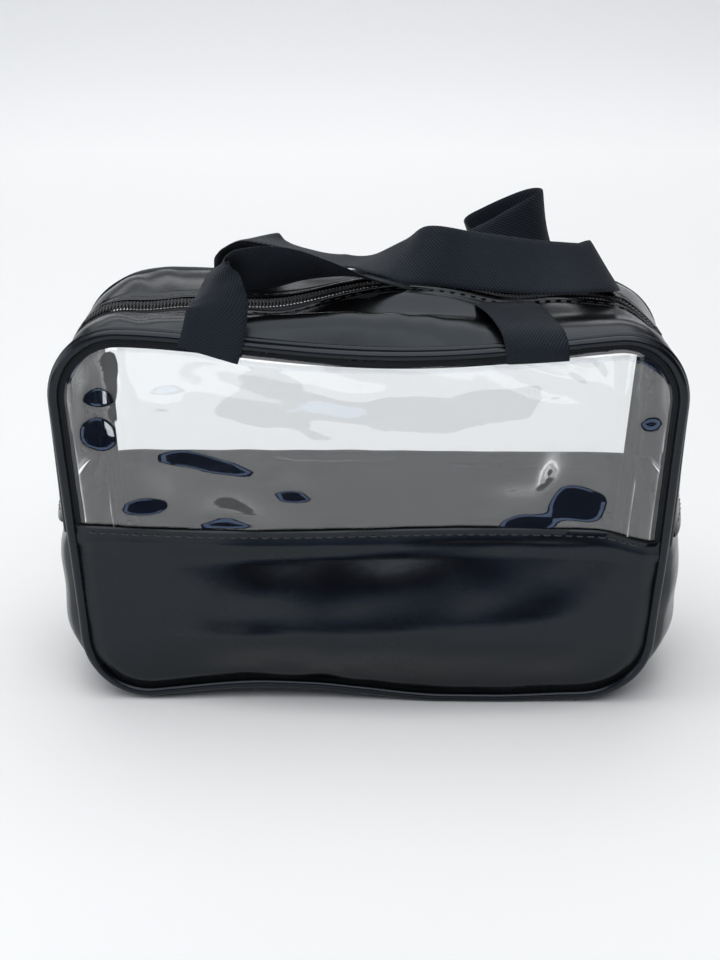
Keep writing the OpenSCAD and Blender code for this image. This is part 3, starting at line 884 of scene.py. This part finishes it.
def strip_grid(side):
    """A whole zip strip, from the left side seam up and over to the right one."""
    sign = SIDES[side]
    right = stretch(SEAM_Z - 2)
    left = [(-x, z, math.pi - a) for x, z, a in right[:-1]]
    path = left + right[::-1]
    x, z, angle = (np.array(column) for column in zip(*path))
    inner = SLOT_Y * ease(z - 0.35 * (np.abs(x) - TOP_C[0]), ZIP_END_Z - 16, ZIP_END_Z - 6)
    grid = gusset_grid(path, sign * (FOLD_Y + 1.4), sign * inner, 30)
    run = np.arange(len(path))[:, None] * STRIP_STEP + 0 * grid[..., 1]
    # rolled lower edge over the base gusset
    grid[..., 0] += np.sign(grid[..., 0]) * 1.1 * hump(grid[..., 2], SEAM_Z + 0.5, 3)
    # folded inner edge beside the zip, with a groove along its stitches
    from_edge = np.abs(np.abs(grid[..., 1]) - np.abs(grid[:, -1:, 1]))
    top = ease(grid[..., 2], TOP_C[1] - 10, TOP_C[1] + 5)
    ridge = 0.6 * hump(from_edge, 1.5, 3.0) - 0.6 * hump(from_edge, 4.2, 1.6)
    out = np.stack([np.cos(angle), 0 * angle, np.sin(angle)], 1)
    grid += out[:, None, :] * (ridge * top)[..., None]
    grid = soften(grid)
    grid = fold(grid, 60 + sign, 0.5, 48, run, grid[..., 1])
    # soft gathers of the roll
    gather = 0.3 * np.sin(run / 3.4 + 2.5 * np.sin(run / 17)) * hump(np.abs(grid[..., 1]), 34, 13) * top
    grid[..., 2] += gather * hump(grid[..., 0], 10, 90)
    # puckers at the left end of the mouth
    pucker = 0.8 * np.sin(run / 2.9 + grid[..., 1] / 9) * hump(grid[..., 0], -104, 22) * top
    grid[..., 2] += pucker * hump(np.abs(grid[..., 1]), 30, 22)
    return grid


def make_strip(side):
    sign = SIDES[side]
    whole = strip_grid(side)
    middle = len(whole) // 2
    normals = grid_normals(whole) * sign
    for hand, name in ((-1, "left"), (1, "right")):
        half = slice(0, middle + 1) if hand < 0 else slice(middle, None)
        grid = whole[half]
        obj = mark_edges(slab(f"{side}_zip_strip_{name}", grid, FABRIC_T, PU, normal=normals[half]), 60)
        bend(obj, f"{side}_flap", hand, "black_pu", f"{side}_zip_strip", f"{name}_zip_gusset")
        # stitches along the groove
        line = grid[:, -4] * 0.35 + grid[:, -3] * 0.65
        keep = line[:, 2] > ZIP_END_Z + 2
        row = stitch_row(f"{side}_strip_stitches_{name}", line[keep], normals[half][:, -3][keep], THREAD)
        bend(row, f"{side}_flap", hand, "thread", f"{side}_strip_stitching")


def make_edge_ridge(side):
    """The gusset's own folded edge, standing beside the piping."""
    sign = SIDES[side]
    right = stretch(SEAM_Z - 5)
    path = right + [(-x, z, math.pi - a) for x, z, a in right[-2::-1]]
    y = sign * (GUSSET_Y + FOLD_Y + 1.2) / 2
    line = soften(np.array([(x - 0.9 * math.cos(a), y, z - 0.9 * math.sin(a)) for x, z, a in path]))
    obj = tube(f"{side}_gusset_fold", line, 1.75, PU, sides=12)
    settle(obj, "shell", "black_pu")


def side_stitches(hand):
    name = "right" if hand > 0 else "left"
    y = np.linspace(-GUSSET_Y + 3, GUSSET_Y - 3, 40)
    z = SEAM_Z + 4
    x = np.full_like(y, half_width(z, 0) + 0.4) * hand
    line = soften(np.stack([x, y, np.full_like(y, z)], 1))
    out = np.tile((float(hand), 0.0, 0.0), (len(y), 1))
    row = stitch_row(f"{name}_side_stitches", line, out, THREAD)
    settle(row, "shell", "thread", f"{name}_side_stitching")


make_base()
for which in SIDES:
    make_strip(which)
    make_edge_ridge(which)
for hand in (-1, 1):
    side_stitches(hand)

# ---------------------------------------------------------------- zip
TOOTH_PITCH = 1.5
COIL_RADIUS = 0.34                 # of the nylon thread
COIL_SLANT = 0.34                  # how far a turn's two ends lie behind and ahead of its middle
COIL_PROUD = 1.6                   # how far the coils stand above their place in the CAD


def zip_line(hand, z):
    """The zip's path from the middle of the mouth, at height z, round the corner: x, z, angle."""
    r = z - TOP_C[1]
    points = [(hand * x, z, math.pi / 2) for x in np.linspace(0, TOP_C[0], 52)]
    for a in np.linspace(0, ZIP_CORNER, 16)[1:]:
        x = hand * (TOP_C[0] + r * math.sin(a))
        points.append((x, TOP_C[1] + r * math.cos(a), math.pi / 2 - hand * a))
    return points


def make_tape(side, hand):
    sign = SIDES[side]
    name = "right" if hand > 0 else "left"
    path = zip_line(hand, TAPE_TOP + 0.5)
    grid = soften(gusset_grid(path, sign * 14.0, sign * 2.0, 9))
    obj = mark_edges(slab(f"{side}_zip_tape_{name}", grid, TAPE_T, TAPE, -sign * hand))
    bend(obj, f"{side}_flap", hand, "zip_tape", f"{side}_zip_tape", f"{name}_zip_tape")


def make_coil(side, hand):
    """A nylon coil: one bent loop for each turn, meshing with the other row at the middle."""
    sign = SIDES[side]
    name = "right" if hand > 0 else "left"
    middle = (COIL_LOW + COIL_HIGH) / 2 + COIL_PROUD
    path = np.array([(x, 0.0, z) for x, z, _ in zip_line(hand, middle)])
    angle = np.array([p[2] for p in zip_line(hand, middle)])
    ups = np.stack([np.cos(angle), 0 * angle, np.sin(angle)], 1)
    dist = np.concatenate([[0], np.cumsum(np.linalg.norm(np.diff(path, axis=0), axis=1))])
    offset = 0.25 if sign < 0 else 0.75
    count = int(dist[-1] / TOOTH_PITCH - 1)
    # a loop seen along the zip: head at the middle, legs back to the tape
    loop = [(2.9, -0.75), (1.2, -0.85), (-0.2, -0.7), (-0.75, 0.0), (-0.2, 0.75), (1.2, 0.95), (2.9, 0.8)]
    parts = [], [], []
    over = np.array([0.0, sign, 0.0])
    for n in range(count):
        s = (n + offset) * TOOTH_PITCH
        centre = np.array([np.interp(s, dist, path[:, k]) for k in range(3)])
        up = unit(np.array([np.interp(s, dist, ups[:, k]) for k in range(3)]))
        ahead = np.cross(over, up)
        shifts = COIL_SLANT * np.linspace(-1, 1, len(loop))
        line = soften(np.array([
            centre + over * (a + 0.35) + up * b + ahead * shift for (a, b), shift in zip(loop, shifts)
        ]))
        add_strand(parts, line, unit(np.gradient(line, axis=0)), ahead, range(len(loop)), COIL_RADIUS, 1.25)
    obj = make_object(f"{side}_zip_coil_{name}", *parts, NYLON)
    fix_normals(obj)
    bend(obj, f"{side}_flap", hand, "zip_coil", f"{side}_zip_coil", f"{name}_zip_coil")


for which in SIDES:
    for hand in (-1, 1):
        make_tape(which, hand)
        make_coil(which, hand)

for name in ("zip_slider", "pull_tab", "left_zip_stop", "right_zip_stop"):
    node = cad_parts[name]
    node.data.materials.clear()
    node.data.materials.append(ENAMEL)

# ---------------------------------------------------------------- handles
# centre and direction across the webbing, in mm: the same stations as the CAD's
FRONT_ROUTE = [
    ((-65.5, -52.2, 161), (-0.97, 0, 0.22)),
    ((-63.5, -52.2, 168), (-0.97, 0, 0.24)),
    ((-61.3, -50.4, 177), (-0.95, 0.18, 0.2)),
    ((-61.8, -47, 182.3), (-0.84, 0.54, 0.06)),
    ((-62.6, -43, 186), (-0.6, 0.8, -0.03)),
    ((-62.6, -40, 189.3), (-0.38, 0.92, -0.12)),
    ((-61.3, -37.8, 191.5), (-0.25, 0.92, -0.3)),
    ((-57.5, -36.8, 192), (-0.15, 0.78, -0.6)),
    ((-52, -36, 191), (-0.15, 0.58, -0.8)),
    ((-45, -32, 189.8), (-0.1, 0.57, -0.8)),
    ((-36, -25.5, 188.2), (0, 0.68, -0.72)),
    ((-25, -18, 185.8), (0.1, 0.82, -0.5)),
    ((-12, -9, 182.4), (0.1, 0.93, -0.3)),
    ((3, -2, 180), (0, 0.99, 0)),
    ((14, 1.5, 180.3), (-0.08, 0.93, 0.32)),
    ((29, 4, 183), (-0.1, 0.8, 0.6)),
    ((43, 9, 185), (-0.1, 0.66, 0.74)),
    ((56, 16, 188.3), (-0.2, 0.45, 0.88)),
    ((67, 23, 193), (-0.22, 0.25, 0.94)),
    ((75, 28, 197), (-0.2, 0.12, 0.97)),
    ((78, 34, 198.8), (-0.15, 0.08, 0.98)),
    ((74, 40, 198), (-0.15, 0.06, 0.98)),
    ((65, 43, 194), (-0.35, 0.05, 0.93)),
    ((56, 44, 189.5), (-0.45, 0.05, 0.88)),
    ((49, 42.5, 186), (-0.3, 0, 0.95)),
    ((45.5, 36.5, 182), (0.25, 0, 0.97)),
    ((46, 28, 177.5), (0.72, 0.2, 0.66)),
    ((49, 18, 174.2), (0.93, 0.3, 0.2)),
    ((52, 7, 173.6), (0.96, 0.28, 0)),
    ((55, -4, 173.8), (0.97, 0.25, 0)),
    ((58, -14.5, 174.2), (0.97, 0.25, 0)),
    ((61.5, -26, 174.2), (0.97, 0.24, 0)),
    ((65, -38, 173.2), (0.98, 0.18, 0)),
    ((68, -47.8, 171.2), (1, 0.04, 0)),
    ((69.5, -52, 167), (1, 0, 0)),
    ((70, -52.2, 161), (1, 0, 0)),
]
BACK_ROUTE = [
    ((-60, 52.2, 161), (1, 0, 0)),
    ((-60, 52.2, 169), (1, 0, 0)),
    ((-59, 48.5, 177), (0.97, 0.2, 0)),
    ((-56, 41, 184.5), (0.83, 0.56, 0)),
    ((-51, 31, 189.3), (0.48, 0.87, -0.05)),
    ((-43, 24, 189), (0.15, 0.98, -0.12)),
    ((-31, 19, 186.8), (-0.02, 0.99, -0.12)),
    ((-16, 10, 184.7), (-0.03, 1, 0)),
    ((-2, 7, 184.2), (-0.02, 1, 0)),
    ((12.5, 2, 187), (0, 0.92, 0.4)),
    ((26, -6, 190.2), (0, 0.4, 0.92)),
    ((42, -7, 188.4), (0, 0.46, 0.88)),
    ((56, -7.5, 187), (0, 0.52, 0.85)),
    ((73, -7, 185.4), (0, 0.62, 0.78)),
    ((88, -6, 185), (-0.1, 0.7, 0.7)),
    ((97.5, -2, 184.4), (-0.22, 0.71, 0.67)),
    ((102, 5, 183.5), (-0.4, 0.62, 0.67)),
    ((101.5, 14, 181.7), (-0.6, 0.4, 0.68)),
    ((97.5, 22.5, 179.2), (-0.75, 0.05, 0.65)),
    ((91, 29, 177), (-0.85, -0.25, 0.45)),
    ((83, 35.5, 174.8), (-0.93, -0.3, 0.14)),
    ((75, 41.5, 173.4), (-0.98, -0.12, 0)),
    ((70.5, 48.5, 171.4), (-1, -0.02, 0)),
    ((69.3, 52, 167), (-1, 0, 0)),
    ((69, 52.2, 161), (-1, 0, 0)),
]


def spline(values, steps):
    """A smooth curve through the values, with steps points between one and the next."""
    values = np.asarray(values, float)
    last = len(values) - 1
    out = []
    for i in range(last):
        p0, p1, p2, p3 = (values[min(max(k, 0), last)] for k in (i - 1, i, i + 1, i + 2))
        for j in range(steps):
            t = j / steps
            out.append(
                0.5 * (2 * p1 + (p2 - p0) * t + (2 * p0 - 5 * p1 + 4 * p2 - p3) * t**2
                       + (3 * p1 - p0 - 3 * p2 + p3) * t**3)
            )
    out.append(values[last])
    return np.array(out)


def make_handle(side, route):
    """Webbing with rounded selvedges, swept along the route."""
    sign = SIDES[side]
    centre = spline([c for c, _ in route], 8)
    across = spline([a for _, a in route], 8)
    # the sewn ends follow the slumped edge of the panel
    near = 1 - ease(centre[:, 2], 168, 180)
    edge = np.stack([centre[:, 0], np.full(len(centre), sign * PANEL_Y), np.full(len(centre), BAG_H)], 1)
    centre = centre + (soften(edge) - edge) * near[:, None]
    run = np.gradient(centre, axis=0)
    run /= np.linalg.norm(run, axis=1, keepdims=True)
    across = across - (across * run).sum(1)[:, None] * run
    across /= np.linalg.norm(across, axis=1, keepdims=True)
    face = np.cross(run, across)
    length = np.concatenate([[0], np.cumsum(np.linalg.norm(np.diff(centre, axis=0), axis=1))])
    half, thick = WEB_W / 2, WEB_T / 2
    cross = [(u, thick * (1 - 0.35 * max(0, abs(u) - (half - 2)) / 2)) for u in np.linspace(-half, half, 15)]
    ring = [(u, t) for u, t in cross] + [(half + 0.35, 0)]
    ring += [(u, -t) for u, t in reversed(cross)] + [(-half - 0.35, 0)]
    sides = len(ring)
    cup = 0.35 * np.sin(length / 17.0)
    verts, uvs, faces = [], [], []
    for i in range(len(centre)):
        for u, t in ring:
            bow = cup[i] * (1 - (u / half) ** 2)
            verts.append(centre[i] + across[i] * u + face[i] * (t + bow))
            uvs.append((u + half, length[i]))
    for i in range(len(centre) - 1):
        for k in range(sides):
            m = (k + 1) % sides
            faces.append((i * sides + k, i * sides + m, (i + 1) * sides + m, (i + 1) * sides + k))
    faces.append(tuple(reversed(range(sides))))
    faces.append(tuple((len(centre) - 1) * sides + k for k in range(sides)))
    obj = make_object(f"{side}_handle_webbing", verts, faces, uvs, WEBBING)
    fix_normals(obj)
    mark_edges(obj, 70)
    settle(obj, f"{side}_loop", "webbing", f"{side}_handle")


make_handle("front", FRONT_ROUTE)
make_handle("back", BACK_ROUTE)
